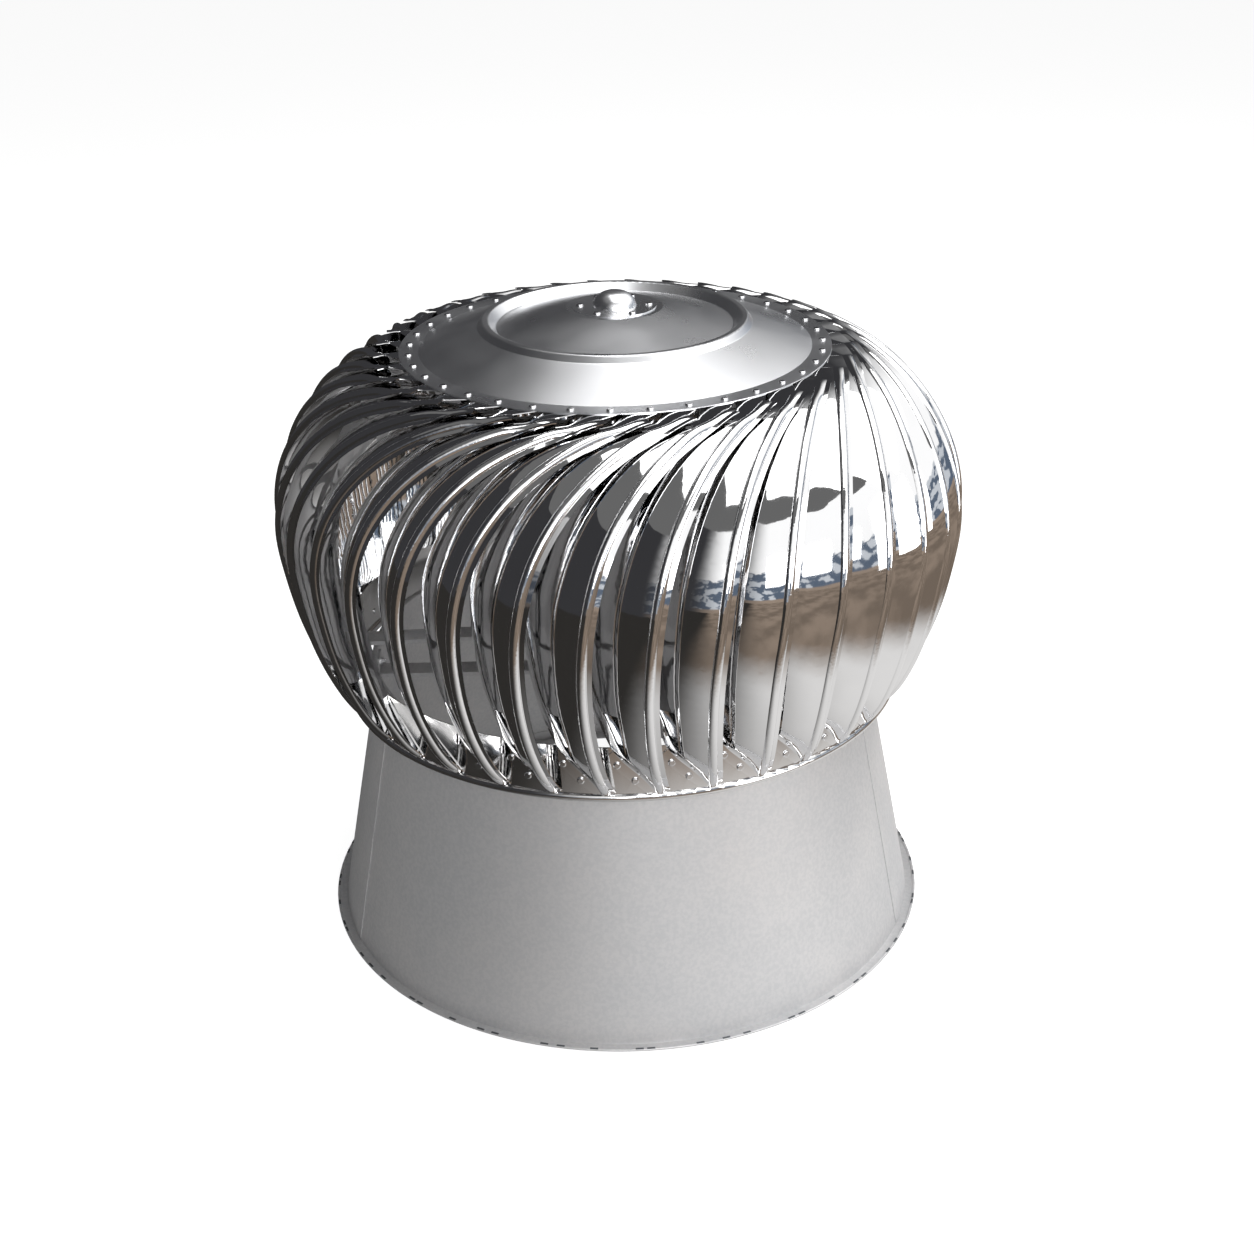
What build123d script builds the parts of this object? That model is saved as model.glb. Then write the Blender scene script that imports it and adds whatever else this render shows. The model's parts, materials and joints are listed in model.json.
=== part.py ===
from build123d import *
import math
import os

# Roof turbine ventilator for a 600 mm neck.
# +Z is up, z = 0 is the underside of the base flange, the Z axis is the spindle.
# All sizes are millimetres and degrees.

os.makedirs("parts", exist_ok=True)

# ---------------------------------------------------------------- driving sizes
SHEET = 1.0                   # skirt and top plate sheet
FIT = 0.05                    # gap between faces that seat on each other

# skirt: a tapered cone with a short straight collar inside the spinning head
BASE_R = 357.0                # outside radius of the cone at its foot
NECK_R = 300.0                # outside radius at the neck, a 600 mm ventilator
CONE_H = 288.0                # height at which the taper ends
COLLAR_TOP = 328.0            # centre of the rolled edge on the straight collar
COLLAR_BEAD_R = 3.0
SEAM_ANGLES = (-157.0, -21.7, 90.0)   # lap seams of the three skirt panels
SEAM_W = 18.0
SEAM_T = 0.9

# base flange
FLANGE_R = 369.0              # outer edge
FLANGE_IN_R = 338.0           # inner edge
FLANGE_T = 1.2
HEM_R = 1.6                   # rolled hem at the outer edge
UPSTAND_H = 16.0              # conical upstand inside the skirt

# spinning head envelope, followed by the tops of the blade ribs
HEAD_R = 396.0                # largest radius
HEAD_Z = 524.0                # height of the largest radius
CROWN_R = 242.0               # radius at which the upper curve levels out
CROWN_Z = 702.5               # height at which the upper curve levels out
CROWN_POWER = 1.8             # fullness of the upper curve
TAIL_R = 312.0                # radius and height that the lower curve heads for
TAIL_Z = 296.0
TAIL_POWER = 1.67             # fullness of the lower curve

# blades
BLADES = 36
PITCH = 360.0 / BLADES
BLADE_T = 0.9                 # blade sheet
BLADE_PHASE = 6.5             # angle of the first blade's lip at the largest radius
LIP_W = 5.0                   # flat lip outside the rib
RIB_W = 11.0                  # width of the pressed rib
RIB_H = 4.0                   # height of the pressed rib
UPPER_LEAN = 40.0             # lean of the rib in plan, from the inward radius, above HEAD_Z
LOWER_LEAN = 10.0             # the same below HEAD_Z
SWAY = 1.25                   # backward bow of the rib below the largest radius
SWAY_Z = 425.0                # height of that bow
SWAY_SPAN = 115.0             # half height over which it fades

# panel of a blade at each station: travel along the rib in plan (upper) or height (lower),
# panel width, tilt where it leaves the rib, tilt at its inner edge
UPPER_STATIONS = (
    (165.0, 29.0, 13.0, 32.0),
    (135.0, 34.0, 14.0, 38.0),
    (100.0, 42.0, 14.0, 46.0),
    (65.0, 50.0, 16.0, 56.0),
    (30.0, 57.0, 19.0, 65.0),
    (12.0, 60.0, 20.5, 69.5),
)
LOWER_STATIONS = (
    (524.0, 62.0, 22.0, 72.0),
    (470.0, 56.0, 22.5, 69.0),
    (420.0, 50.0, 23.0, 67.0),
    (380.0, 42.0, 24.0, 64.0),
    (345.0, 33.0, 28.0, 61.0),
    (322.0, 32.0, 46.0, 68.0),
    (302.0, 32.0, 52.0, 70.0),
)
# stations where the blade turns flat to meet the plate: travel, height of the sheet,
# height of the rib, slope of the sheet along the rib
FLAT_STATIONS = (
    (214.0, 699.5, 0.5, 0.0),
    (209.0, 699.1, 1.0, 6.0),
    (203.0, 698.1, 1.6, 10.0),
    (188.0, 694.5, 2.6, 17.0),
)
FLAT_W = 30.0                 # panel width on the flat stations
TAB = ((214.0, 14.0), (230.8, 21.7), (242.0, 27.0), (242.0, 46.0), (214.0, 46.0))
TAB_RIVET = (231.3, 34.0)     # travel and offset of the top rivet

# lower band: straight cylinder that carries the feet of the blades
BAND_R = 328.0                # outside radius
BAND_T = 1.2
BAND_TOP = 365.0
RIM_Z = 304.0                 # centre of the rolled rim
RIM_R = 5.0
RIM_IN = 1.0                  # rim centre inside the band's outer face

# foot flange of a blade on the band, along and up from the foot rivets' middle
FOOT_ANGLE = -4.0             # middle of the foot from the blade's lip angle
FOOT = ((33.0, 309.4), (31.0, 313.4), (-23.0, 363.4), (-36.0, 351.0), (9.4, 309.4))
FOOT_RIVETS = ((-4.5, 325.2), (-7.75, 344.2))

# top plate
PLATE_R = 242.0               # outer edge
PLATE_Z = 700.5               # top of the riveting flange
PLATE_FLAT_R = 220.0          # inner edge of the riveting flange
RIDGE_FOOT_R = 153.0          # outer foot of the pressed ring
RIDGE_FOOT_Z = 724.5
RIDGE_R = 145.0               # top of the pressed ring
RIDGE_Z = 731.5
RIDGE_FLAT = 3.0
VALLEY_R = 133.0              # groove inside the ring
VALLEY_Z = 722.0
SEAT_R = 54.0                 # flat seat for the hub cap
SEAT_Z = 742.0                # top of that seat
PLATE_BORE_R = 29.0

# hub cap
CAP_R = 46.6
CAP_T = 1.2
DOME_R = 23.5
DOME_TOP = 760.0
CAP_RIVET_R = 38.5
CAP_RIVETS = 6

# rivets and bolts
RIVET_R = 2.0
RIVET_HOLE = 2.1
RIVET_HEAD_R = 4.0
RIVET_HEAD_H = 1.8
RIVET_TAIL_R = 3.1
RIVET_TAIL_H = 1.0
BOLT_R = 3.0
BOLT_HOLE = 3.2
BOLT_HEAD_R = 5.5
BOLT_HEAD_H = 3.6

# spindle and deep groove ball bearings, bore, outside and width over two
UPPER_BORE_R = 10.0
UPPER_RACE_R = 23.5
UPPER_RACE_H = 14.0
UPPER_Z = 718.0               # underside of the upper bearing
LOWER_BORE_R = 12.5
LOWER_RACE_R = 26.0
LOWER_RACE_H = 15.0
LOWER_Z = 342.0               # underside of the lower bearing
BALL_R = 3.95
GROOVE_PLAY = 0.06            # play between a ball and its groove
POCKET_PLAY = 0.08            # play between a ball and its cage pocket
CAGE_T = 2.2
CAGE_H = 10.4
LAND_GAP = 2.3                # lands lie this far from the ball circle

SPINDLE_R = 15.0              # spindle below the lower bearing
SPINDLE_LOW = 36.0
SPINDLE_TOP = 740.0
NUT_H = 12.0
NUT_ACROSS = 46.0
TOP_NUT_R = 16.0
TOP_NUT_H = 6.0

# bearing housings
HOUSING_WALL = 7.0
HOUSING_FLANGE_T = 4.0
HOUSING_LIP = 3.0             # step that holds an outer ring
HOUSING_FLOAT = 0.5           # end float of the lower outer ring
CLIP_T = 1.6
CLIP_W = 3.4
CLIP_GROOVE = 1.4

# cross arms
ARM_W = 28.0
ARM_T = 5.0
ARM_TAB_H = 20.0
ARM_HUB_R = 42.0
LOWER_ARM_Z = 60.0
UPPER_ARM_Z = 290.0
ROTOR_ARM_Z = 343.0
ROTOR_ARM_TAB_H = 16.0
ROTOR_ARM_TURN = 3.5          # turns the rotor arms so that their bolts miss the blade feet

# ---------------------------------------------------------------- derived sizes
CONE_SLOPE = (BASE_R - NECK_R) / CONE_H
WALL = SHEET * math.hypot(1, CONE_SLOPE)          # skirt sheet measured level
PLATE_UNDER = PLATE_Z - SHEET
SEAT_UNDER = SEAT_Z - SHEET
BAND_IN_R = BAND_R - BAND_T
LEAN = math.radians(UPPER_LEAN)
QUARTERS = (0, 90, 180, 270)


def skirt_r(z):
    """Outside radius of the skirt at height z."""
    return BASE_R - CONE_SLOPE * z if z < CONE_H else NECK_R


def polar(radius, angle, z):
    """Point at a radius, an angle in degrees and a height."""
    a = math.radians(angle)
    return Vector(radius * math.cos(a), radius * math.sin(a), z)


def outward_plane(radius, angle, z):
    """Plane that faces outward, its x axis running around and its y axis up."""
    return Plane(
        origin=polar(radius, angle, z),
        x_dir=polar(1, angle + 90, 0),
        z_dir=polar(1, angle, 0),
    )


def around(radius, angles, z):
    """Outward planes at several angles."""
    return [outward_plane(radius, angle, z) for angle in angles]


def label_and_export(part, name):
    """Name a finished piece and write its file."""
    part.label = name
    export_step(part, f"parts/{name}.step")


# ================================================================ fixed base
# Skirt: tapered sheet, straight collar and rolled edge.
CONE_LOW = FLANGE_T + FIT
COLLAR_HOLE_Z = UPPER_ARM_Z + ARM_T + ARM_TAB_H / 2
with BuildPart() as base_cone:
    with BuildSketch(Plane.XZ):
        with BuildLine():
            Polyline(
                (skirt_r(CONE_LOW), CONE_LOW),
                (NECK_R, CONE_H),
                (NECK_R, COLLAR_TOP),
                (NECK_R - SHEET, COLLAR_TOP),
                (NECK_R - SHEET, CONE_H),
                (skirt_r(CONE_LOW) - WALL, CONE_LOW),
                close=True,
            )
        make_face()
        with Locations((NECK_R - COLLAR_BEAD_R, COLLAR_TOP)):
            Circle(COLLAR_BEAD_R)
    revolve(axis=Axis.Z)
    with Locations(*around(NECK_R, QUARTERS, COLLAR_HOLE_Z)):
        Cylinder(BOLT_HOLE, 6 * SHEET, mode=Mode.SUBTRACT)
label_and_export(base_cone.part, "base_cone")

# Lap seams: narrow cover strips that follow the taper.
SEAM_LOW = 2 * HEM_R + FIT
with BuildPart() as cone_seams:
    with BuildSketch(Plane.XZ):
        with BuildLine():
            Polyline(
                (skirt_r(SEAM_LOW) + FIT, SEAM_LOW),
                (skirt_r(SEAM_LOW) + FIT + SEAM_T, SEAM_LOW),
                (NECK_R + FIT + SEAM_T, CONE_H),
                (NECK_R + FIT, CONE_H),
                close=True,
            )
        make_face()
    revolve(axis=Axis.Z)
    with BuildSketch(Plane.XY):
        for seam in SEAM_ANGLES:
            with Locations(polar(BASE_R, seam, 0)):
                Rectangle(BASE_R, SEAM_W, rotation=seam)
    extrude(amount=CONE_H + SHEET, mode=Mode.INTERSECT)
label_and_export(cone_seams.part, "cone_seams")

# Base flange: flat ring, rolled hem and an upstand inside the skirt.
UP_R = BASE_R - WALL - FIT
with BuildPart() as base_flange:
    with BuildSketch(Plane.XZ):
        with BuildLine():
            Polyline(
                (FLANGE_IN_R, 0),
                (FLANGE_R - HEM_R, 0),
                (FLANGE_R - HEM_R, FLANGE_T),
                (UP_R - CONE_SLOPE * FLANGE_T, FLANGE_T),
                (UP_R - CONE_SLOPE * UPSTAND_H, UPSTAND_H),
                (UP_R - FLANGE_T - CONE_SLOPE * UPSTAND_H, UPSTAND_H),
                (UP_R - FLANGE_T - CONE_SLOPE * FLANGE_T, FLANGE_T),
                (FLANGE_IN_R, FLANGE_T),
                close=True,
            )
        make_face()
        with Locations((FLANGE_R - HEM_R, HEM_R)):
            Circle(HEM_R)
    revolve(axis=Axis.Z)
label_and_export(base_flange.part, "base_flange")


def arm_profile(z, reach, slope, tab_h):
    """Half section of cross arms: a flat strip whose end turns up along a wall."""
    top = z + ARM_T + tab_h
    back = ARM_T * math.hypot(1, slope)
    with BuildLine() as section:
        Polyline(
            (0, z),
            (reach, z),
            (reach - slope * (top - z), top),
            (reach - slope * (top - z) - back, top),
            (reach - slope * ARM_T - back, z + ARM_T),
            (0, z + ARM_T),
            close=True,
        )
    return section.line


def arm_plan(reach, hub_r):
    """Plan of four arms on a round hub."""
    with BuildSketch() as plan:
        Circle(hub_r)
        Rectangle(2 * reach + ARM_T, ARM_W)
        Rectangle(ARM_W, 2 * reach + ARM_T)
    return plan.sketch


# Upper fixed arms: bolted inside the collar, they steady the spindle.
with BuildPart() as upper_arms:
    with BuildSketch(Plane.XZ):
        add(arm_profile(UPPER_ARM_Z, NECK_R - SHEET - FIT, 0, ARM_TAB_H))
        make_face()
    revolve(axis=Axis.Z)
    with BuildSketch(Plane.XY.offset(UPPER_ARM_Z)):
        add(arm_plan(NECK_R, ARM_HUB_R))
    extrude(amount=ARM_T + ARM_TAB_H, mode=Mode.INTERSECT)
    with BuildSketch(Plane.XY.offset(UPPER_ARM_Z)):
        Circle(SPINDLE_R + FIT)
    extrude(amount=ARM_T, mode=Mode.SUBTRACT)
    with Locations(*around(NECK_R, QUARTERS, COLLAR_HOLE_Z)):
        Cylinder(BOLT_HOLE, 6 * ARM_T, mode=Mode.SUBTRACT)
label_and_export(upper_arms.part, "upper_arms")

# Lower fixed arms: spot welded inside the cone, they carry the spindle between two nuts.
LOWER_REACH = skirt_r(LOWER_ARM_Z) - WALL - FIT
with BuildPart() as lower_arms:
    with BuildSketch(Plane.XZ):
        add(arm_profile(LOWER_ARM_Z, LOWER_REACH, CONE_SLOPE, ARM_TAB_H))
        make_face()
    revolve(axis=Axis.Z)
    with BuildSketch(Plane.XY.offset(LOWER_ARM_Z)):
        add(arm_plan(LOWER_REACH, ARM_HUB_R))
    extrude(amount=ARM_T + ARM_TAB_H, mode=Mode.INTERSECT)
    with BuildSketch(Plane.XY.offset(LOWER_ARM_Z)):
        Circle(SPINDLE_R + FIT)
    extrude(amount=ARM_T, mode=Mode.SUBTRACT)
label_and_export(lower_arms.part, "lower_arms")


def bolt(grip):
    """Bolt and nut along Z; z = 0 is the outer face and the grip lies below it."""
    with BuildPart() as fastener:
        with BuildSketch(Plane.XY.offset(FIT)):
            RegularPolygon(BOLT_HEAD_R, 6)
        extrude(amount=BOLT_HEAD_H)
        with BuildSketch(Plane.XY.offset(FIT + BOLT_HEAD_H)):
            Circle(BOLT_R)
        extrude(amount=-(grip + 3 * BOLT_HEAD_H))
        with BuildSketch(Plane.XY.offset(-grip - FIT)):
            RegularPolygon(BOLT_HEAD_R, 6)
        extrude(amount=-BOLT_HEAD_H)
    return fastener.part


# Bolts of the upper arms, heads outside the collar.
ARM_BOLT = bolt(SHEET + FIT + ARM_T)
with BuildPart() as arm_bolts:
    with Locations(*around(NECK_R, QUARTERS, COLLAR_HOLE_Z)):
        add(ARM_BOLT)
label_and_export(arm_bolts.part, "arm_bolts")

# Spindle: fixed, stepped so that each bearing drops on from above.
with BuildPart() as spindle:
    with BuildSketch(Plane.XZ):
        with BuildLine():
            Polyline(
                (0, SPINDLE_LOW),
                (SPINDLE_R - 2, SPINDLE_LOW),
                (SPINDLE_R, SPINDLE_LOW + 2),
                (SPINDLE_R, LOWER_Z),
                (LOWER_BORE_R, LOWER_Z),
                (LOWER_BORE_R, UPPER_Z),
                (UPPER_BORE_R, UPPER_Z),
                (UPPER_BORE_R, SPINDLE_TOP - 1.5),
                (UPPER_BORE_R - 1.5, SPINDLE_TOP),
                (0, SPINDLE_TOP),
                close=True,
            )
        make_face()
    revolve(axis=Axis.Z)
label_and_export(spindle.part, "spindle")

# Nuts: two clamp the spindle to the lower arms, one holds the upper inner ring.
UPPER_RACE_TOP = UPPER_Z + FIT + UPPER_RACE_H
with BuildPart() as spindle_nuts:
    with BuildSketch(Plane.XY.offset(LOWER_ARM_Z - FIT)):
        RegularPolygon(NUT_ACROSS / 2, 6, major_radius=False)
        Circle(SPINDLE_R + FIT, mode=Mode.SUBTRACT)
    extrude(amount=-NUT_H)
    with BuildSketch(Plane.XY.offset(LOWER_ARM_Z + ARM_T + FIT)):
        RegularPolygon(NUT_ACROSS / 2, 6, major_radius=False)
        Circle(SPINDLE_R + FIT, mode=Mode.SUBTRACT)
    extrude(amount=NUT_H)
    with BuildSketch(Plane.XY.offset(UPPER_RACE_TOP + FIT)):
        Circle(TOP_NUT_R)
        with PolarLocations(TOP_NUT_R, 4):
            Rectangle(4, 4, mode=Mode.SUBTRACT)
        Circle(UPPER_BORE_R + FIT, mode=Mode.SUBTRACT)
    extrude(amount=TOP_NUT_H)
label_and_export(spindle_nuts.part, "spindle_nuts")


def inner_ring(bore_r, race_r, height, z):
    """Inner ring of a deep groove bearing standing on height z."""
    circle = (bore_r + race_r) / 2
    middle = z + height / 2
    with BuildPart() as ring:
        with BuildSketch(Plane.XY.offset(z)):
            Circle(circle - LAND_GAP)
            Circle(bore_r + FIT, mode=Mode.SUBTRACT)
        extrude(amount=height)
        with Locations((0, 0, middle)):
            Torus(circle, BALL_R + GROOVE_PLAY, mode=Mode.SUBTRACT)
    return ring.part


def outer_ring(bore_r, race_r, height, z):
    """Outer ring of a deep groove bearing standing on height z."""
    circle = (bore_r + race_r) / 2
    middle = z + height / 2
    with BuildPart() as ring:
        with BuildSketch(Plane.XY.offset(z)):
            Circle(race_r)
            Circle(circle + LAND_GAP, mode=Mode.SUBTRACT)
        extrude(amount=height)
        with Locations((0, 0, middle)):
            Torus(circle, BALL_R + GROOVE_PLAY, mode=Mode.SUBTRACT)
    return ring.part


def caged_balls(bore_r, race_r, height, z, count):
    """Balls and the cage that spaces them."""
    circle = (bore_r + race_r) / 2
    middle = z + height / 2
    with BuildPart() as cage:
        with BuildSketch(Plane.XY.offset(middle - CAGE_H / 2)):
            Circle(circle + CAGE_T / 2)
            Circle(circle - CAGE_T / 2, mode=Mode.SUBTRACT)
        extrude(amount=CAGE_H)
        with Locations((0, 0, middle)):
            with PolarLocations(circle, count):
                Cylinder(BALL_R + POCKET_PLAY, 3 * CAGE_T, rotation=(0, 90, 0), mode=Mode.SUBTRACT)
                Sphere(BALL_R)
    return cage.part


UPPER_BEARING = (UPPER_BORE_R, UPPER_RACE_R, UPPER_RACE_H, UPPER_Z + FIT)
LOWER_BEARING = (LOWER_BORE_R, LOWER_RACE_R, LOWER_RACE_H, LOWER_Z + FIT)
label_and_export(inner_ring(*UPPER_BEARING), "upper_inner_ring")
label_and_export(inner_ring(*LOWER_BEARING), "lower_inner_ring")
label_and_export(caged_balls(*UPPER_BEARING, 8), "upper_balls")
label_and_export(caged_balls(*LOWER_BEARING, 9), "lower_balls")
label_and_export(outer_ring(*UPPER_BEARING), "upper_outer_ring")
label_and_export(outer_ring(*LOWER_BEARING), "lower_outer_ring")

# ================================================================ spinning head
RIVET_ANGLES = tuple(BLADE_PHASE + PITCH * number for number in range(BLADES))


def rivet(grip):
    """Rivet along Z; z = 0 is the outer face and the grip lies below it."""
    with BuildPart() as fastener:
        with BuildSketch(Plane.XY.offset(FIT)):
            Circle(RIVET_HEAD_R)
        extrude(amount=RIVET_HEAD_H)
        fillet(fastener.edges().sort_by(Axis.Z)[-1], radius=0.8 * RIVET_HEAD_H)
        with BuildSketch(Plane.XY.offset(FIT)):
            Circle(RIVET_R)
        extrude(amount=-(grip + 2 * FIT))
        with BuildSketch(Plane.XY.offset(-grip - FIT)):
            Circle(RIVET_TAIL_R)
        extrude(amount=-RIVET_TAIL_H)
    return fastener.part


def rib_plan(travel, offset):
    """Radius and angle of a point on a blade, from travel along the rib and offset inward."""
    x = HEAD_R - travel * math.cos(LEAN) - offset * math.sin(LEAN)
    y = travel * math.sin(LEAN) - offset * math.cos(LEAN)
    return math.hypot(x, y), math.degrees(math.atan2(y, x))


TAB_RIVET_R, TAB_RIVET_ANGLE = rib_plan(*TAB_RIVET)
TOP_RIVET_POINTS = [polar(TAB_RIVET_R, angle + TAB_RIVET_ANGLE, PLATE_Z) for angle in RIVET_ANGLES]

# Top plate: riveting flange, shallow cone, pressed ring and the seat of the hub cap.
with BuildPart() as top_plate:
    with BuildSketch(Plane.XZ):
        with BuildLine():
            FilletPolyline(
                (PLATE_R, PLATE_UNDER),
                (PLATE_FLAT_R, PLATE_UNDER),
                (RIDGE_FOOT_R, RIDGE_FOOT_Z - SHEET),
                (RIDGE_R + RIDGE_FLAT, RIDGE_Z - SHEET),
                (RIDGE_R - RIDGE_FLAT, RIDGE_Z - SHEET),
                (VALLEY_R, VALLEY_Z - SHEET),
                (SEAT_R, SEAT_UNDER),
                (PLATE_BORE_R, SEAT_UNDER),
                radius=2.5,
            )
            offset(amount=SHEET, side=Side.RIGHT)
        make_face()
    revolve(axis=Axis.Z)
    with Locations(*TOP_RIVET_POINTS):
        Cylinder(RIVET_HOLE, 6 * SHEET, mode=Mode.SUBTRACT)
    with Locations((0, 0, SEAT_Z)):
        with PolarLocations(CAP_RIVET_R, CAP_RIVETS):
            Cylinder(RIVET_HOLE, 6 * SHEET, mode=Mode.SUBTRACT)
label_and_export(top_plate.part, "top_plate")

# Upper bearing housing: hangs from the plate and rests on the outer ring.
CUP_R = UPPER_RACE_R + HOUSING_WALL
CUP_LOW = UPPER_Z + FIT - CLIP_T - 2 * FIT - 3
HOUSING_TOP = SEAT_UNDER - FIT
CUP_BORE = UPPER_RACE_R + FIT
UPPER_STOP = UPPER_RACE_TOP + FIT
with BuildPart() as upper_housing:
    with BuildSketch(Plane.XZ):
        with BuildLine():
            Polyline(
                (UPPER_RACE_R - HOUSING_LIP, HOUSING_TOP),
                (CAP_R, HOUSING_TOP),
                (CAP_R, HOUSING_TOP - HOUSING_FLANGE_T),
                (CUP_R, HOUSING_TOP - HOUSING_FLANGE_T),
                (CUP_R, CUP_LOW),
                (CUP_BORE, CUP_LOW),
                (CUP_BORE, UPPER_STOP),
                (UPPER_RACE_R - HOUSING_LIP, UPPER_STOP),
                close=True,
            )
        make_face()
        with Locations((CUP_BORE, UPPER_Z - FIT - CLIP_T / 2)):
            Rectangle(2 * CLIP_GROOVE, CLIP_T + 2 * FIT, mode=Mode.SUBTRACT)
    revolve(axis=Axis.Z)
    with Locations((0, 0, HOUSING_TOP)):
        with PolarLocations(CAP_RIVET_R, CAP_RIVETS):
            Cylinder(RIVET_HOLE, 3 * HOUSING_FLANGE_T, mode=Mode.SUBTRACT)
label_and_export(upper_housing.part, "upper_housing")

# Hub cap: flanged dome over the end of the spindle.
CAP_Z = SEAT_Z + FIT
with BuildPart() as hub_cap:
    with BuildSketch(Plane.XZ):
        with BuildLine():
            Line((DOME_R, CAP_Z), (CAP_R, CAP_Z))
            Line((CAP_R, CAP_Z), (CAP_R, CAP_Z + CAP_T))
            Line((CAP_R, CAP_Z + CAP_T), (DOME_R + CAP_T, CAP_Z + CAP_T))
            Spline(
                (DOME_R + CAP_T, CAP_Z + CAP_T),
                (0.75 * DOME_R, DOME_TOP - 5),
                (0, DOME_TOP),
                tangents=((-0.2, 1), (-1, 0)),
            )
            Line((0, DOME_TOP), (0, DOME_TOP - CAP_T))
            Spline(
                (0, DOME_TOP - CAP_T),
                (0.75 * DOME_R - CAP_T, DOME_TOP - 5 - CAP_T),
                (DOME_R, CAP_Z),
                tangents=((1, 0), (0.2, -1)),
            )
        make_face()
    revolve(axis=Axis.Z)
    with Locations((0, 0, CAP_Z)):
        with PolarLocations(CAP_RIVET_R, CAP_RIVETS):
            Cylinder(RIVET_HOLE, 6 * CAP_T, mode=Mode.SUBTRACT)
label_and_export(hub_cap.part, "hub_cap")

HUB_RIVET = rivet(CAP_Z + CAP_T - HOUSING_TOP + HOUSING_FLANGE_T)
with BuildPart() as hub_rivets:
    with Locations((0, 0, CAP_Z + CAP_T)):
        with PolarLocations(CAP_RIVET_R, CAP_RIVETS):
            add(HUB_RIVET)
label_and_export(hub_rivets.part, "hub_rivets")

TAB_TOP = PLATE_UNDER - FIT
TOP_RIVET = rivet(PLATE_Z - TAB_TOP + BLADE_T)
with BuildPart() as top_rivets:
    with Locations(*TOP_RIVET_POINTS):
        add(TOP_RIVET)
label_and_export(top_rivets.part, "top_rivets")

# Lower band: straight cylinder with a rolled rim, drilled for rivets and arm bolts.
BAND_BOLT_Z = ROTOR_ARM_Z + ARM_T + ROTOR_ARM_TAB_H / 2
BAND_BOLT_ANGLES = tuple(ROTOR_ARM_TURN + quarter for quarter in QUARTERS)
FOOT_FACE_R = BAND_R + FIT
with BuildPart() as lower_band:
    with BuildSketch(Plane.XZ):
        with Locations(((BAND_R + BAND_IN_R) / 2, (RIM_Z + BAND_TOP) / 2)):
            Rectangle(BAND_T, BAND_TOP - RIM_Z)
        with Locations((BAND_R - RIM_IN, RIM_Z)):
            Circle(RIM_R)
    revolve(axis=Axis.Z)
    for side, height in FOOT_RIVETS:
        with Locations(*around(BAND_R, [angle + side for angle in RIVET_ANGLES], height)):
            Cylinder(RIVET_HOLE, 6 * BAND_T, mode=Mode.SUBTRACT)
    with Locations(*around(BAND_R, BAND_BOLT_ANGLES, BAND_BOLT_Z)):
        Cylinder(BOLT_HOLE, 6 * BAND_T, mode=Mode.SUBTRACT)
label_and_export(lower_band.part, "lower_band")

FOOT_RIVET = rivet(BLADE_T + FIT + BAND_T)
with BuildPart() as band_rivets:
    for side, height in FOOT_RIVETS:
        angles = [angle + side for angle in RIVET_ANGLES]
        with Locations(*around(FOOT_FACE_R + BLADE_T, angles, height)):
            add(FOOT_RIVET)
label_and_export(band_rivets.part, "band_rivets")

# Rotor arms with the lower bearing housing welded into their hub.
LOWER_CUP_R = LOWER_RACE_R + HOUSING_WALL
LOWER_CUP_Z = LOWER_Z + FIT - HOUSING_FLOAT - HOUSING_LIP
LOWER_CLIP_Z = LOWER_Z + FIT + LOWER_RACE_H + HOUSING_FLOAT
LOWER_CUP_TOP = LOWER_CLIP_Z + CLIP_T + 3
with BuildPart() as rotor_arms:
    with BuildSketch(Plane.XZ):
        add(arm_profile(ROTOR_ARM_Z, BAND_IN_R - FIT, 0, ROTOR_ARM_TAB_H))
        make_face()
    revolve(axis=Axis.Z)
    with BuildSketch(Plane.XY.offset(ROTOR_ARM_Z)):
        add(arm_plan(BAND_R, ARM_HUB_R).rotate(Axis.Z, ROTOR_ARM_TURN))
    extrude(amount=ARM_T + ROTOR_ARM_TAB_H, mode=Mode.INTERSECT)
    with BuildSketch(Plane.XY.offset(LOWER_CUP_Z)):
        Circle(LOWER_CUP_R)
    extrude(amount=LOWER_CUP_TOP - LOWER_CUP_Z)
    with BuildSketch(Plane.XY.offset(LOWER_CUP_Z)):
        Circle(LOWER_RACE_R - HOUSING_LIP)
    extrude(amount=LOWER_CUP_TOP - LOWER_CUP_Z, mode=Mode.SUBTRACT)
    with BuildSketch(Plane.XY.offset(LOWER_CUP_Z + HOUSING_LIP)):
        Circle(LOWER_RACE_R + FIT)
    extrude(amount=LOWER_CUP_TOP - LOWER_CUP_Z, mode=Mode.SUBTRACT)
    with BuildSketch(Plane.XY.offset(LOWER_CLIP_Z - FIT)):
        Circle(LOWER_RACE_R + CLIP_GROOVE)
    extrude(amount=CLIP_T + 2 * FIT, mode=Mode.SUBTRACT)
    with Locations(*around(BAND_R, BAND_BOLT_ANGLES, BAND_BOLT_Z)):
        Cylinder(BOLT_HOLE, 6 * ARM_T, mode=Mode.SUBTRACT)
label_and_export(rotor_arms.part, "rotor_arms")

BAND_BOLT = bolt(BAND_T + FIT + ARM_T)
with BuildPart() as rotor_arm_bolts:
    with Locations(*around(BAND_R, BAND_BOLT_ANGLES, BAND_BOLT_Z)):
        add(BAND_BOLT)
label_and_export(rotor_arm_bolts.part, "rotor_arm_bolts")

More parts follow.
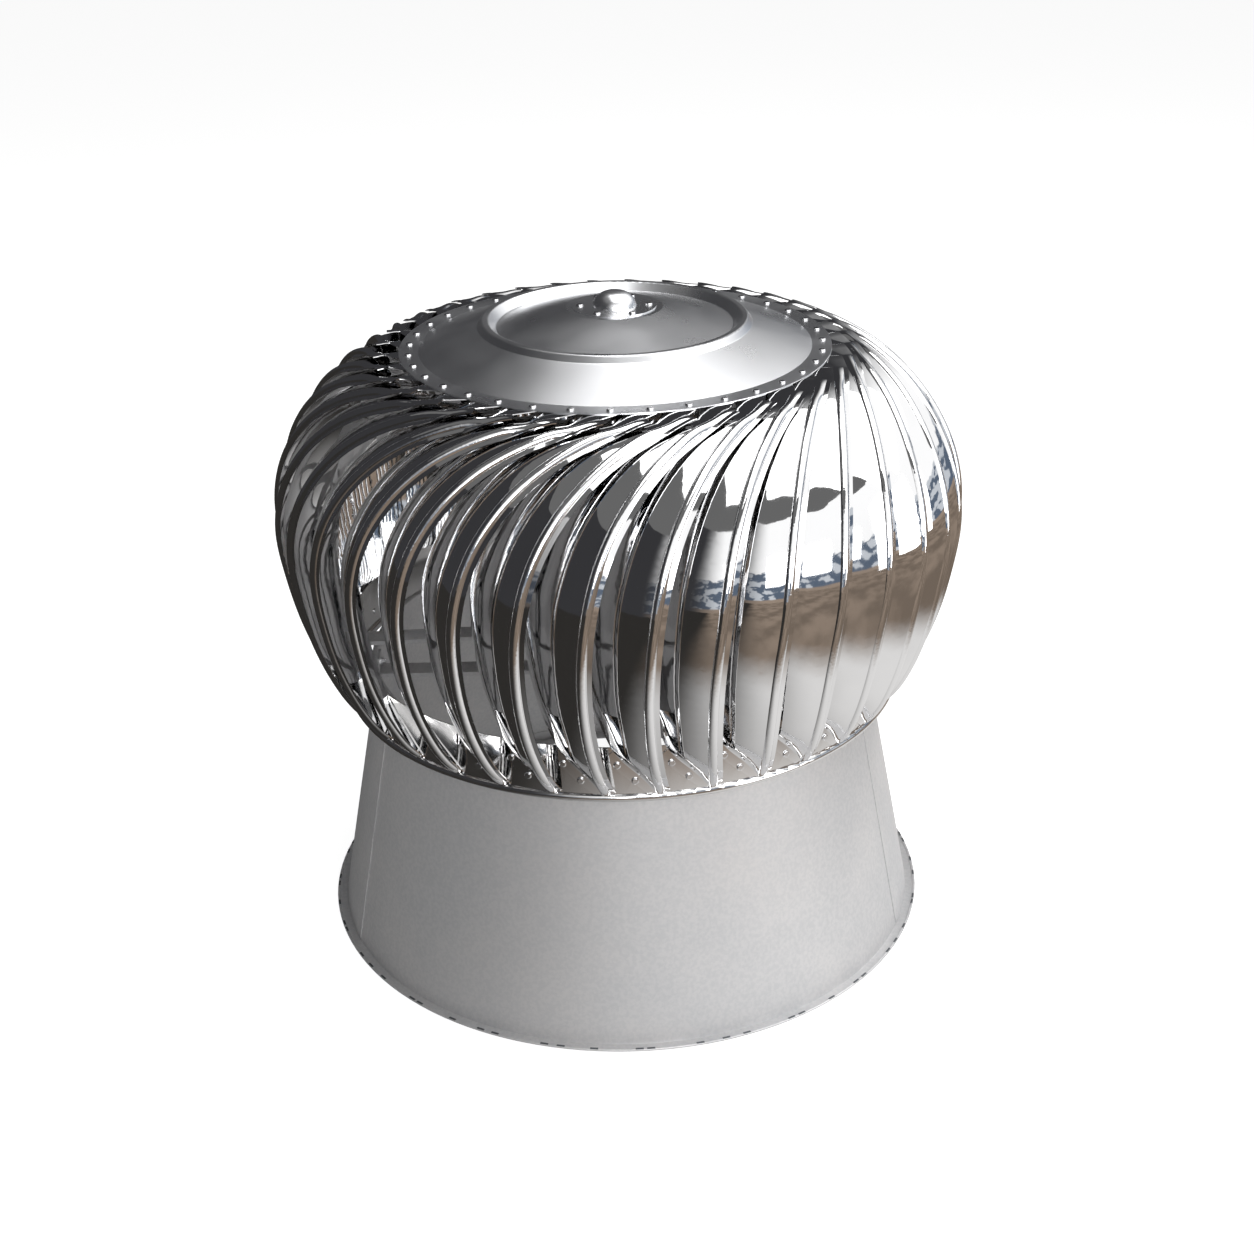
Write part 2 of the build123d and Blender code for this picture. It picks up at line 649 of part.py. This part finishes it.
# Spring clips that keep the outer rings in their housings.
with BuildPart() as housing_clips:
    for race_r, clip_z in ((UPPER_RACE_R, UPPER_Z - FIT - CLIP_T), (LOWER_RACE_R, LOWER_CLIP_Z)):
        with BuildSketch(Plane.XY.offset(clip_z)):
            Circle(race_r + CLIP_GROOVE - FIT)
            Circle(race_r + CLIP_GROOVE - FIT - CLIP_W, mode=Mode.SUBTRACT)
            with Locations((race_r, 0)):
                Rectangle(3 * CLIP_W, 2 * CLIP_W, mode=Mode.SUBTRACT)
        extrude(amount=CLIP_T)
label_and_export(housing_clips.part, "housing_clips")


# ================================================================ blades
def envelope_r(z):
    """Radius of the head envelope at height z."""
    if z >= HEAD_Z:
        t = (z - HEAD_Z) / (CROWN_Z - HEAD_Z)
        return CROWN_R + (HEAD_R - CROWN_R) * (1 - t**CROWN_POWER) ** (1 / CROWN_POWER)
    t = (HEAD_Z - z) / (HEAD_Z - TAIL_Z)
    return TAIL_R + (HEAD_R - TAIL_R) * (1 - t**TAIL_POWER) ** (1 / TAIL_POWER)


def envelope_z(r):
    """Height of the upper half of the envelope at radius r."""
    t = (r - CROWN_R) / (HEAD_R - CROWN_R)
    return HEAD_Z + (CROWN_Z - HEAD_Z) * (1 - t**CROWN_POWER) ** (1 / CROWN_POWER)


def rib_point(z):
    """Point of the rib line on the envelope at height z."""
    r = envelope_r(z)
    lean = UPPER_LEAN if z >= HEAD_Z else LOWER_LEAN
    angle = math.degrees(math.asin(HEAD_R * math.sin(math.radians(lean)) / r)) - lean
    bow = 1 - ((z - SWAY_Z) / SWAY_SPAN) ** 2
    return polar(r, angle - SWAY * max(bow, 0), z)


def rib_plane(z):
    """Plane across the rib: x runs inward along the panel, y out of the envelope."""
    step = 0.01
    tangent = (rib_point(z + step) - rib_point(z - step)).normalized()
    point = rib_point(z)
    around = Vector(-point.Y, point.X, 0).normalized()
    out = tangent.cross(around) * -1
    out = (out - tangent * out.dot(tangent)).normalized()
    return Plane(origin=point, x_dir=out.cross(tangent), z_dir=tangent)


def flat_plane(travel, z, slope):
    """Plane across the rib where the sheet turns level under the plate."""
    r, angle = rib_plan(travel, 0)
    pitch = math.radians(slope)
    along = Vector(-math.cos(LEAN), math.sin(LEAN), 0) * math.cos(pitch)
    tangent = along + Vector(0, 0, math.sin(pitch))
    across = Vector(-math.sin(LEAN), -math.cos(LEAN), 0)
    return Plane(origin=polar(r, angle, z), x_dir=across, z_dir=tangent)


def blade_section(width, tilt_out, tilt_in, rib_h, level):
    """Closed outline of the blade sheet: lip, pressed rib and curved panel."""
    a0 = math.radians(tilt_out)
    a1 = math.radians(tilt_in)
    bend = width / (math.sin(a1) - math.sin(a0))
    start = LIP_W + RIB_W
    cx = start - bend * math.sin(a0)
    cy = level - bend * math.cos(a0)
    under = level - BLADE_T
    crest = LIP_W + RIB_W / 2
    am = (a0 + a1) / 2
    inner = bend - BLADE_T
    top_end = (cx + bend * math.sin(a1), cy + bend * math.cos(a1))
    top_mid = (cx + bend * math.sin(am), cy + bend * math.cos(am))
    low_end = (cx + inner * math.sin(a1), cy + inner * math.cos(a1))
    low_mid = (cx + inner * math.sin(am), cy + inner * math.cos(am))
    pinch = 0.7 * BLADE_T
    with BuildLine() as outline:
        Line((0, level), (LIP_W, level))
        ThreePointArc((LIP_W, level), (crest, level + rib_h), (start, level))
        ThreePointArc((start, level), top_mid, top_end)
        Line(top_end, low_end)
        ThreePointArc(low_end, low_mid, (start - pinch, under))
        ThreePointArc((start - pinch, under), (crest, under + rib_h), (LIP_W + pinch, under))
        Line((LIP_W + pinch, under), (0, under))
        Line((0, under), (0, level))
    return outline.line


# Foot flange that lies on the band.
with BuildPart() as foot:
    with BuildSketch(Plane.XY.offset(RIM_Z)):
        Circle(FOOT_FACE_R + BLADE_T)
        Circle(FOOT_FACE_R, mode=Mode.SUBTRACT)
    extrude(amount=2 * (BAND_TOP - RIM_Z))
    with BuildSketch(outward_plane(BAND_R - 10, FOOT_ANGLE, 0)):
        with BuildLine():
            Polyline(*FOOT, close=True)
        make_face()
    extrude(amount=20, mode=Mode.INTERSECT)

# Tab that lies under the plate.
with BuildPart() as tab:
    with BuildSketch(Plane.XY.offset(TAB_TOP - BLADE_T)):
        with BuildLine():
            Polyline(*(polar(*rib_plan(*corner), 0) for corner in TAB), close=True)
        make_face()
    extrude(amount=BLADE_T)

# The blade: one smooth sheet from the tab to the foot.
with BuildPart() as blade:
    for travel, height, rib_h, slope in FLAT_STATIONS:
        with BuildSketch(flat_plane(travel, height - FIT, slope)):
            add(blade_section(FLAT_W, 0.0, 1.0 + 0.4 * slope, rib_h, 0))
            make_face()
    for travel, width, tilt_out, tilt_in in UPPER_STATIONS:
        with BuildSketch(rib_plane(envelope_z(rib_plan(travel, 0)[0]))):
            add(blade_section(width, tilt_out, tilt_in, RIB_H, -RIB_H))
            make_face()
    for height, width, tilt_out, tilt_in in LOWER_STATIONS:
        with BuildSketch(rib_plane(height)):
            add(blade_section(width, tilt_out, tilt_in, RIB_H, -RIB_H))
            make_face()
    loft()
    with BuildSketch(Plane.XY.offset(0)):
        Circle(FOOT_FACE_R)
    extrude(amount=BAND_TOP + 10, mode=Mode.SUBTRACT)
    with BuildSketch(Plane.XY.offset(0)):
        Circle(2 * HEAD_R)
    extrude(amount=FOOT[0][1], mode=Mode.SUBTRACT)
    add(foot.part)
    add(tab.part)
    for side, height in FOOT_RIVETS:
        with Locations(outward_plane(BAND_R, side, height)):
            Cylinder(RIVET_HOLE, 6 * BLADE_T, mode=Mode.SUBTRACT)
    with Locations(polar(TAB_RIVET_R, TAB_RIVET_ANGLE, PLATE_Z)):
        Cylinder(RIVET_HOLE, 6 * SHEET, mode=Mode.SUBTRACT)

for number, angle in enumerate(RIVET_ANGLES, start=1):
    with BuildPart() as turned_blade:
        with Locations(Location((0, 0, 0), (0, 0, angle))):
            add(blade.part)
    label_and_export(turned_blade.part, f"blade_{number:02d}")
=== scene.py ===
"""Looks of a roof turbine ventilator: finishes, crimped flange detail, lights and camera.

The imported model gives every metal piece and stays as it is. This script adds the pressed marks of
the base flange, gives each material slot its finish, and builds the studio around the object.
Units are metres, +Z is up and the spindle is the Z axis.
"""

import json
import logging
import math
from dataclasses import dataclass, field
from enum import Enum

import bpy
from mathutils import Matrix, Vector

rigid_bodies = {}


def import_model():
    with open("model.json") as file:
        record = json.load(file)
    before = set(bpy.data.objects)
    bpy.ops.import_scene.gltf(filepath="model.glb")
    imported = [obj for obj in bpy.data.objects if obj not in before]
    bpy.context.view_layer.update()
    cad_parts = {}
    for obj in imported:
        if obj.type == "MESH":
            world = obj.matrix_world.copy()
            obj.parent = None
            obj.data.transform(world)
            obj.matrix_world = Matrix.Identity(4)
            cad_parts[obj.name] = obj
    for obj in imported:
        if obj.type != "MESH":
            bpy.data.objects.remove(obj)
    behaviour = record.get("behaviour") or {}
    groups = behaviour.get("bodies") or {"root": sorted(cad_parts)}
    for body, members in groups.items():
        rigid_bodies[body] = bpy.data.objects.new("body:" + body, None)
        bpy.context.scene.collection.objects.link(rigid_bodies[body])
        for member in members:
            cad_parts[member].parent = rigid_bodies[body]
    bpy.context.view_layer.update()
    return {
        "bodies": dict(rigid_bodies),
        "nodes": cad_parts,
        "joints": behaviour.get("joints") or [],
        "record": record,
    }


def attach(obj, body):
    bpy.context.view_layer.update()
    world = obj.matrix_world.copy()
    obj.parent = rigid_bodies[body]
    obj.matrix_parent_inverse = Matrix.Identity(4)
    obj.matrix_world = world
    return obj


LOG = logging.getLogger("turbine_ventilator")
Colour = tuple[float, float, float]
GOLDEN_ANGLE = math.pi * (3.0 - math.sqrt(5.0))


# ---------------------------------------------------------------- shader graph helpers
class Sock:
    """A node output that can be used in arithmetic."""

    def __init__(self, graph: "Graph", output: bpy.types.NodeSocket) -> None:
        """Keep the graph and the wrapped output socket."""
        self.graph = graph
        self.output = output

    def _math(self, operation: str, first: object, second: object) -> "Sock":
        """Add one Math node and return its value."""
        return self.graph.node("ShaderNodeMath", {0: first, 1: second}, operation=operation)

    def __add__(self, other: object) -> "Sock":
        return self._math("ADD", self, other)

    def __radd__(self, other: object) -> "Sock":
        return self._math("ADD", other, self)

    def __sub__(self, other: object) -> "Sock":
        return self._math("SUBTRACT", self, other)

    def __rsub__(self, other: object) -> "Sock":
        return self._math("SUBTRACT", other, self)

    def __mul__(self, other: object) -> "Sock":
        return self._math("MULTIPLY", self, other)

    def __rmul__(self, other: object) -> "Sock":
        return self._math("MULTIPLY", other, self)

    def __truediv__(self, other: object) -> "Sock":
        return self._math("DIVIDE", self, other)

    def __rtruediv__(self, other: object) -> "Sock":
        return self._math("DIVIDE", other, self)

    def __pow__(self, other: object) -> "Sock":
        return self._math("POWER", self, other)

    def __neg__(self) -> "Sock":
        return self._math("MULTIPLY", self, -1.0)

    def over(self, edge: float, width: float) -> "Sock":
        """Soft step.

        Args:
            edge: value at which the step is half way.
            width: distance over which it rises.

        Returns:
            0 below the step and 1 above it.
        """
        ramp = self.graph.node(
            "ShaderNodeMapRange",
            {"Value": self, "From Min": edge - width / 2, "From Max": edge + width / 2},
            interpolation_type="SMOOTHSTEP",
        )
        return ramp


class Graph:
    """A material's node tree with one method that adds nodes."""

    def __init__(self, tree: bpy.types.NodeTree) -> None:
        """Start from an empty tree."""
        self.tree = tree
        tree.nodes.clear()

    def node(self, kind: str, inputs: dict | None = None, out: int | str = 0, **options) -> Sock | None:
        """Add a node, set its options and link or set its inputs.

        Args:
            kind: node type name.
            inputs: socket name or index to a value or another Sock.
            out: output to return.
            **options: attributes set on the node.

        Returns:
            The chosen output, or None for a node that has no outputs.
        """
        made = self.tree.nodes.new(kind)
        for name, value in options.items():
            setattr(made, name, value)
        for key, value in (inputs or {}).items():
            if isinstance(value, Sock):
                self.tree.links.new(value.output, made.inputs[key])
            else:
                made.inputs[key].default_value = value
        return Sock(self, made.outputs[out]) if len(made.outputs) else None

    def mix(self, factor: object, low: object, high: object) -> Sock:
        """Blend two colours.

        Args:
            factor: 0 for low and 1 for high.
            low: colour or Sock.
            high: colour or Sock.

        Returns:
            The blended colour.
        """
        made = self.tree.nodes.new("ShaderNodeMix")
        made.data_type = "RGBA"
        for index, value in ((0, factor), (6, low), (7, high)):
            if isinstance(value, Sock):
                self.tree.links.new(value.output, made.inputs[index])
            elif index == 0:
                made.inputs[index].default_value = value
            else:
                made.inputs[index].default_value = (*value, 1.0)
        return Sock(self, made.outputs[2])

    def noise(self, where: Sock, scale: float, detail: float = 3.0) -> Sock:
        """Noise value at a place.

        Args:
            where: coordinates.
            scale: cells per metre.
            detail: octaves.

        Returns:
            A value near 0.5.
        """
        return self.node("ShaderNodeTexNoise", {"Vector": where, "Scale": scale, "Detail": detail})

    def place(self) -> Sock:
        """Object coordinates in metres."""
        return self.node("ShaderNodeTexCoord", out="Object")

    def surface(self, shader: Sock) -> None:
        """Send a shader to the material's surface."""
        self.node("ShaderNodeOutputMaterial", {"Surface": shader})


# ---------------------------------------------------------------- finishes
class Finish(Enum):
    """Finish of each material slot."""

    BLADE = "blade_steel"
    PLATE = "plate_steel"
    GALVANISED = "galvanised"
    BEARING = "bearing_steel"
    FASTENER = "fastener_steel"


@dataclass(frozen=True)
class SheetSteel:
    """Sheet metal with rolling waviness and light handling marks.

    Attributes:
        name: material name.
        tint: base colour.
        gloss: roughness of clean metal.
        haze: extra roughness where the sheet has been handled.
        wave: depth of the sheet's waviness, metres.
        wave_scale: waves per metre.
        grain: depth of fine grain, metres.
    """

    name: str
    tint: Colour
    gloss: float
    haze: float
    wave: float
    wave_scale: float = 6.0
    grain: float = 0.0

    def build(self) -> bpy.types.Material:
        """Make the material.

        Returns:
            The new material.
        """
        material = bpy.data.materials.new(self.name)
        material.use_nodes = True
        graph = Graph(material.node_tree)
        where = graph.place()
        smear = graph.noise(where, 9.0, 4.0).over(0.55, 0.35)
        fine = graph.noise(where, 160.0, 2.0)
        dark = tuple(0.9 * channel for channel in self.tint)
        height = graph.noise(where, self.wave_scale, 1.0) * self.wave + fine * self.grain
        bump = graph.node("ShaderNodeBump", {"Height": height, "Strength": 1.0, "Distance": 1.0})
        shader = graph.node(
            "ShaderNodeBsdfPrincipled",
            {
                "Base Color": graph.mix(smear * 0.5, self.tint, dark),
                "Metallic": 1.0,
                "Roughness": smear * self.haze + self.gloss,
                "Normal": bump,
            },
        )
        graph.surface(shader)
        return material


@dataclass(frozen=True)
class Galvanised:
    """Zinc coated sheet: matte, mottled and slightly stained.

    Attributes:
        name: material name.
        light: colour of the clean zinc.
        dark: colour of the mottling.
        roughness: mean roughness.
        metallic: metallic share.
    """

    name: str = "galvanised_sheet"
    light: Colour = (0.70, 0.69, 0.69)
    dark: Colour = (0.56, 0.565, 0.575)
    roughness: float = 0.40
    metallic: float = 0.6

    def build(self) -> bpy.types.Material:
        """Make the material.

        Returns:
            The new material.
        """
        material = bpy.data.materials.new(self.name)
        material.use_nodes = True
        graph = Graph(material.node_tree)
        where = graph.place()
        cloud = graph.noise(where, 7.0, 5.0).over(0.5, 0.4)
        grit = graph.noise(where, 220.0, 3.0)
        mottle = cloud * 0.55 + grit.over(0.5, 0.3) * 0.35
        bump = graph.node("ShaderNodeBump", {"Height": grit * 0.00008, "Strength": 1.0, "Distance": 1.0})
        shader = graph.node(
            "ShaderNodeBsdfPrincipled",
            {
                "Base Color": graph.mix(mottle, self.light, self.dark),
                "Metallic": self.metallic,
                "Roughness": cloud * 0.08 + grit * 0.08 + self.roughness,
                "Normal": bump,
            },
        )
        graph.surface(shader)
        return material


FINISHES: dict[Finish, SheetSteel | Galvanised] = {
    Finish.BLADE: SheetSteel("mirror_sheet", (0.86, 0.86, 0.865), 0.035, 0.035, 0.0006, 5.0),
    Finish.PLATE: SheetSteel("mill_sheet", (0.86, 0.865, 0.88), 0.27, 0.08, 0.0004, 5.0, 0.00001),
    Finish.GALVANISED: Galvanised(),
    Finish.BEARING: SheetSteel("ground_steel", (0.60, 0.60, 0.61), 0.18, 0.05, 0.0),
    Finish.FASTENER: SheetSteel("rivet_steel", (0.80, 0.80, 0.81), 0.16, 0.10, 0.0),
}
MIRROR_BAND = SheetSteel("band_sheet", (0.82, 0.815, 0.81), 0.10, 0.08, 0.0005, 5.0)


@dataclass
class Paintwork:
    """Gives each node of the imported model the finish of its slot.

    Attributes:
        made: materials already built, by finish.
    """

    made: dict[Finish, bpy.types.Material] = field(default_factory=dict)

    def material(self, finish: Finish) -> bpy.types.Material:
        """Material of a finish, built on first use.

        Args:
            finish: the wanted finish.

        Returns:
            Its material.
        """
        if finish not in self.made:
            self.made[finish] = FINISHES[finish].build()
        return self.made[finish]

    def apply(self, frame: dict) -> None:
        """Replace the materials of every node.

        Args:
            frame: what the frame loader returned.
        """
        for entry in frame["record"]["subparts"]:
            mesh = frame["nodes"][entry["node"]].data
            mesh.materials.clear()
            mesh.materials.append(self.material(Finish(entry["material_slot"])))
        band = frame["nodes"]["lower_band"].data
        band.materials.clear()
        band.materials.append(MIRROR_BAND.build())


# ---------------------------------------------------------------- crimp marks
@dataclass(frozen=True)
class CrimpMarks:
    """Marks pressed at uneven steps along the hem of the base flange, coloured near black as painted
    shade of the dents.

    Attributes:
        count: number of marks.
        radius: circle they lie on.
        top: height of the hem.
        size: radial, tangential and vertical size.
    """

    count: int = 64
    radius: float = 0.3672
    top: float = 0.0032
    size: tuple[float, float, float] = (0.0022, 0.009, 0.0007)

    def build(self) -> bpy.types.Object:
        """Model the marks as one object that moves with the base.

        Returns:
            The joined marks.
        """
        marks: list[bpy.types.Object] = []
        for index in range(self.count):
            wander = 0.35 * math.sin(index * GOLDEN_ANGLE)
            angle = 2 * math.pi * (index + wander) / self.count
            spot = (self.radius * math.cos(angle), self.radius * math.sin(angle), self.top)
            bpy.ops.object.select_all(action="DESELECT")
            bpy.ops.mesh.primitive_cube_add(size=1.0, location=spot, rotation=(0, 0, angle))
            mark = bpy.context.object
            mark.scale = self.size
            marks.append(mark)
        bpy.ops.object.select_all(action="DESELECT")
        for mark in marks:
            mark.select_set(True)
        bpy.context.view_layer.objects.active = marks[0]
        bpy.ops.object.join()
        bpy.ops.object.transform_apply(location=True, rotation=True, scale=True)
        joined = bpy.context.object
        joined.name = "flange_crimps"
        # Near-black colour: painted shade of the pressed dents, not the colour of the zinc hem.
        joined.data.materials.append(
            SheetSteel("crimp_painted_shade", (0.16, 0.17, 0.18), 0.45, 0.1, 0.0).build()
        )
        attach(joined, "base")
        return joined


# ---------------------------------------------------------------- studio
@dataclass(frozen=True)
class Surround:
    """Curtain, ground and world that the polished metal reflects.

    Attributes:
        radius: radius of the curtain.
        height: height of the curtain.
        sky: colour above the horizon.
        yard: colour of the dark objects along the horizon.
        ground: colour of the ground.
        pale: colour of the pale objects along the horizon.
        pale_ground: colour of the ground close to the object.
        clear: radius of that pale ground.
        ambient: light from all other directions.
    """

    radius: float = 9.0
    height: float = 12.0
    sky: Colour = (1.0, 1.0, 1.0)
    yard: Colour = (0.10, 0.13, 0.18)
    pale: Colour = (0.55, 0.58, 0.62)
    ground: Colour = (0.30, 0.235, 0.185)
    pale_ground: Colour = (0.80, 0.79, 0.78)
    clear: float = 0.85
    ambient: float = 0.15

    def curtain(self) -> bpy.types.Object:
        """Upright cylinder with the sky, the yard and the far ground on it.

        Returns:
            The curtain.
        """
        bpy.ops.object.select_all(action="DESELECT")
        bpy.ops.mesh.primitive_cylinder_add(
            vertices=96, radius=self.radius, depth=self.height, end_fill_type="NOTHING"
        )
        curtain = bpy.context.object
        curtain.name = "reflection_curtain"
        curtain.location = (0, 0, self.height / 2 - 1.0)
        bpy.ops.object.transform_apply(location=True, rotation=False, scale=False)
        material = bpy.data.materials.new("curtain_light")
        material.use_nodes = True
        graph = Graph(material.node_tree)
        where = graph.place()
        split = graph.tree.nodes.new("ShaderNodeSeparateXYZ")
        graph.tree.links.new(where.output, split.inputs[0])
        x, y, z = (Sock(graph, split.outputs[index]) for index in range(3))
        blocks = graph.noise(
            graph.node("ShaderNodeMapping", {"Vector": where, "Scale": (0.5, 0.5, 1.6)}), 1.0, 2.0
        )
        roofs = z - blocks * 3.0
        above = roofs.over(2.0, 0.12)
        shade = graph.mix(blocks.over(0.52, 0.04), self.yard, self.pale)
        horizon = graph.mix(z.over(0.35, 0.1), self.ground, shade)
        colour = graph.mix(above, horizon, self.sky)
        side = (x * 0.85 - y * 0.35).over(0.3, 5.0)
        lit = graph.mix(side, (0.035, 0.035, 0.038), colour)
        shader = graph.node(
            "ShaderNodeEmission", {"Color": lit, "Strength": 1.15}
        )
        graph.surface(shader)
        curtain.data.materials.append(material)
        hide_from_view(curtain)
        return curtain

    def yard_floor(self) -> bpy.types.Object:
        """Brown ground seen only in reflections.

        Returns:
            The ground disc.
        """
        bpy.ops.object.select_all(action="DESELECT")
        bpy.ops.mesh.primitive_circle_add(vertices=96, radius=self.radius, fill_type="NGON")
        ground = bpy.context.object
        ground.name = "reflection_ground"
        ground.location = (0, 0, -0.0005)
        bpy.ops.object.transform_apply(location=True, rotation=False, scale=False)
        material = bpy.data.materials.new("yard_ground")
        material.use_nodes = True
        graph = Graph(material.node_tree)
        where = graph.place()
        patches = graph.noise(where, 1.4, 4.0).over(0.5, 0.25)
        dark = tuple(0.62 * channel for channel in self.ground)
        split = graph.tree.nodes.new("ShaderNodeSeparateXYZ")
        graph.tree.links.new(where.output, split.inputs[0])
        x, y = Sock(graph, split.outputs[0]), Sock(graph, split.outputs[1])
        near = ((x * x + y * y) ** 0.5).over(self.clear, 0.25)
        soil = graph.mix(near, self.pale_ground, graph.mix(patches, self.ground, dark))
        lit = graph.mix((x - y * 0.3).over(0.15, 0.9), (0.03, 0.028, 0.026), soil)
        graph.surface(graph.node("ShaderNodeEmission", {"Color": lit, "Strength": 1.0}))
        ground.data.materials.append(material)
        hide_from_view(ground)
        return ground

    def floor(self) -> bpy.types.Object:
        """Plain pale floor under the object.

        Returns:
            The floor.
        """
        bpy.ops.object.select_all(action="DESELECT")
        bpy.ops.mesh.primitive_plane_add(size=60.0, location=(0, 0, 0))
        floor = bpy.context.object
        floor.name = "floor"
        floor.location = (0, 0, -0.001)
        bpy.ops.object.transform_apply(location=True, rotation=False, scale=False)
        material = bpy.data.materials.new("pale_floor")
        material.use_nodes = True
        graph = Graph(material.node_tree)
        graph.surface(
            graph.node(
                "ShaderNodeBsdfPrincipled",
                {
                    "Base Color": (0.55, 0.55, 0.55, 1.0),
                    "Roughness": 0.9,
                    "Specular IOR Level": 0.0,
                    "Emission Color": (1.0, 1.0, 1.0, 1.0),
                    "Emission Strength": 0.86,
                },
            )
        )
        floor.data.materials.append(material)
        return floor

    def world(self) -> None:
        """White backdrop for the camera and an even ambient for the metal."""
        world = bpy.data.worlds.new("studio")
        bpy.context.scene.world = world
        world.use_nodes = True
        graph = Graph(world.node_tree)
        seen = graph.node("ShaderNodeLightPath", out="Is Camera Ray")
        white = graph.node("ShaderNodeBackground", {"Color": (1, 1, 1, 1), "Strength": 1.0})
        soft = graph.node(
            "ShaderNodeBackground", {"Color": (1, 1, 1, 1), "Strength": self.ambient}
        )
        both = graph.node("ShaderNodeMixShader", {0: seen, 1: soft, 2: white})
        graph.node("ShaderNodeOutputWorld", {"Surface": both})

    def build(self) -> list[bpy.types.Object]:
        """Make everything.

        Returns:
            The stage objects.
        """
        self.world()
        return [self.curtain(), self.yard_floor(), self.floor()]


def hide_from_view(obj: bpy.types.Object) -> None:
    """Leave an object to mirror reflections only.

    Args:
        obj: the object.
    """
    obj.visible_camera = False
    obj.visible_diffuse = False
    obj.visible_shadow = False
    obj.visible_transmission = False


@dataclass(frozen=True)
class SoftLight:
    """Rectangular area light aimed at the object.

    Attributes:
        name: light name.
        place: where it stands.
        aim: point it faces.
        size: width and height.
        power: watts.
        colour: light colour.
    """

    name: str
    place: tuple[float, float, float]
    aim: tuple[float, float, float]
    size: tuple[float, float]
    power: float
    colour: Colour = (1.0, 1.0, 1.0)

    def build(self) -> bpy.types.Object:
        """Make the light.

        Returns:
            The light object.
        """
        data = bpy.data.lights.new(self.name, "AREA")
        data.shape = "RECTANGLE"
        data.size, data.size_y = self.size
        data.energy = self.power
        data.color = self.colour
        light = bpy.data.objects.new(self.name, data)
        bpy.context.scene.collection.objects.link(light)
        light.location = self.place
        aim = Vector(self.aim) - Vector(self.place)
        light.rotation_euler = aim.to_track_quat("-Z", "Y").to_euler()
        return light


LIGHTS = (
    SoftLight("top_soft", (1.0, 0.2, 3.6), (0.0, 0.0, 0.6), (3.6, 3.6), 90.0),
    SoftLight("right_soft", (3.4, -2.0, 1.6), (0.0, 0.0, 0.4), (2.0, 3.0), 50.0),
    SoftLight("front_soft", (0.9, -4.2, 1.9), (0.0, 0.0, 0.3), (2.4, 1.6), 56.0),
)


@dataclass(frozen=True)
class CameraRig:
    """Still camera.

    Attributes:
        place: where it stands.
        yaw: turn to the right of +Y, degrees.
        pitch: angle down, degrees.
        roll: turn about the line of sight, degrees.
        lens: focal length on a 36 mm wide sensor, millimetres.
    """

    place: tuple[float, float, float] = (0.0, -1.9567, 1.2994)
    yaw: float = 0.209
    pitch: float = 26.013
    roll: float = -1.106
    lens: float = 51.70

    def build(self) -> bpy.types.Object:
        """Make the camera and use it for the scene.

        Returns:
            The camera object.
        """
        yaw, pitch, roll = (math.radians(v) for v in (self.yaw, self.pitch, self.roll))
        ahead = Vector(
            (math.sin(yaw) * math.cos(pitch), math.cos(yaw) * math.cos(pitch), -math.sin(pitch))
        )
        right = ahead.cross(Vector((0, 0, 1))).normalized()
        up = right.cross(ahead)
        level = right * math.cos(roll) + up * math.sin(roll)
        over = up * math.cos(roll) - right * math.sin(roll)
        data = bpy.data.cameras.new("camera")
        data.sensor_width = 36.0
        data.lens = self.lens
        camera = bpy.data.objects.new("camera", data)
        bpy.context.scene.collection.objects.link(camera)
        turn = Matrix((level, over, -ahead)).transposed().to_4x4()
        camera.matrix_world = Matrix.Translation(self.place) @ turn
        bpy.context.scene.camera = camera
        return camera


def main() -> None:
    """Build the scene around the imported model."""
    logging.basicConfig(level=logging.INFO)
    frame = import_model()
    Paintwork().apply(frame)
    CrimpMarks().build()
    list(Surround().build())
    for light in LIGHTS:
        light.build()
    CameraRig().build()
    bpy.context.scene.view_settings.view_transform = "Standard"
    LOG.info("built with %d nodes", len(frame["nodes"]))


if __name__ == "__main__":
    main()
